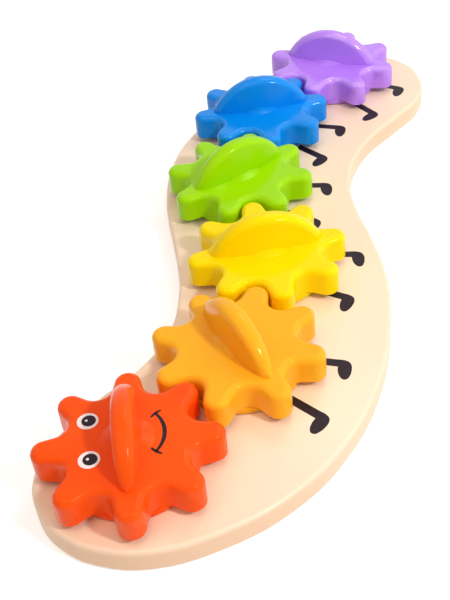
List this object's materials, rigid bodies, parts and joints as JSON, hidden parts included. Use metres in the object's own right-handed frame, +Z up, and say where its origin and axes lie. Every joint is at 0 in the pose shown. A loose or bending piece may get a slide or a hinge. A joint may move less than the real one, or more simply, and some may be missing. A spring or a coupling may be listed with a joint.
{
  "type": "gear board toy",
  "caption": "S-shaped wooden board carrying a chain of meshed plastic gears in rainbow colours, each with an upright fin to turn it by.",
  "frame": {"origin": "under the middle of the toy's bounding box, on the surface that it lies on", "axes": "+X along the board from the head end with the red gear to the tail end with the purple gear, +Y across the board, towards the side with no legs, +Z up, along the gears' axes"},
  "size_m": [0.3558, 0.134, 0.0415],
  "materials": {
    "wood": "pale wood under a thin clear satin coat, black printed legs",
    "bush_plastic": "natural white moulded plastic, satin",
    "steel": "zinc-plated steel, satin",
    "red_plastic": "bright orange-red moulded plastic, gloss, black and white printed face",
    "orange_plastic": "bright orange moulded plastic, gloss",
    "yellow_plastic": "bright yellow moulded plastic, gloss",
    "green_plastic": "bright lime green moulded plastic, gloss",
    "blue_plastic": "bright blue moulded plastic, gloss",
    "purple_plastic": "bright light purple moulded plastic, gloss"
  },
  "bodies": {
    "base": {"board": "wood", "red_bush": "bush_plastic", "orange_bush": "bush_plastic", "yellow_bush": "bush_plastic", "green_bush": "bush_plastic", "blue_bush": "bush_plastic", "purple_bush": "bush_plastic"},
    "red_gear_set": {"red_gear": "red_plastic", "red_base_disc": "red_plastic", "red_washer": "steel", "red_screw": "steel"},
    "orange_gear_set": {"orange_gear": "orange_plastic", "orange_base_disc": "orange_plastic", "orange_washer": "steel", "orange_screw": "steel"},
    "yellow_gear_set": {"yellow_gear": "yellow_plastic", "yellow_base_disc": "yellow_plastic", "yellow_washer": "steel", "yellow_screw": "steel"},
    "green_gear_set": {"green_gear": "green_plastic", "green_base_disc": "green_plastic", "green_washer": "steel", "green_screw": "steel"},
    "blue_gear_set": {"blue_gear": "blue_plastic", "blue_base_disc": "blue_plastic", "blue_washer": "steel", "blue_screw": "steel"},
    "purple_gear_set": {"purple_gear": "purple_plastic", "purple_base_disc": "purple_plastic", "purple_washer": "steel", "purple_screw": "steel"}
  },
  "joints": [
    {"name": "red_gear_turn", "type": "hinge", "parent": "base", "child": "red_gear_set", "pos_m": [-0.14195, 0.00829, 0.01], "axis": [0, 0, 1], "continuous": true},
    {"name": "orange_gear_turn", "type": "hinge", "parent": "base", "child": "orange_gear_set", "pos_m": [-0.08593, -0.01321, 0.01], "axis": [0, 0, 1], "continuous": true},
    {"name": "yellow_gear_turn", "type": "hinge", "parent": "base", "child": "yellow_gear_set", "pos_m": [-0.02629, -0.00663, 0.01], "axis": [0, 0, 1], "continuous": true},
    {"name": "green_gear_turn", "type": "hinge", "parent": "base", "child": "green_gear_set", "pos_m": [0.02598, 0.02283, 0.01], "axis": [0, 0, 1], "continuous": true},
    {"name": "blue_gear_turn", "type": "hinge", "parent": "base", "child": "blue_gear_set", "pos_m": [0.08547, 0.03066, 0.01], "axis": [0, 0, 1], "continuous": true},
    {"name": "purple_gear_turn", "type": "hinge", "parent": "base", "child": "purple_gear_set", "pos_m": [0.14106, 0.00809, 0.01], "axis": [0, 0, 1], "continuous": true}
  ],
  "couplings": [
    {"joint": "orange_gear_turn", "follows": "red_gear_turn", "ratio": -1},
    {"joint": "yellow_gear_turn", "follows": "red_gear_turn", "ratio": 1},
    {"joint": "green_gear_turn", "follows": "red_gear_turn", "ratio": -1},
    {"joint": "blue_gear_turn", "follows": "red_gear_turn", "ratio": 1},
    {"joint": "purple_gear_turn", "follows": "red_gear_turn", "ratio": -1}
  ]
}
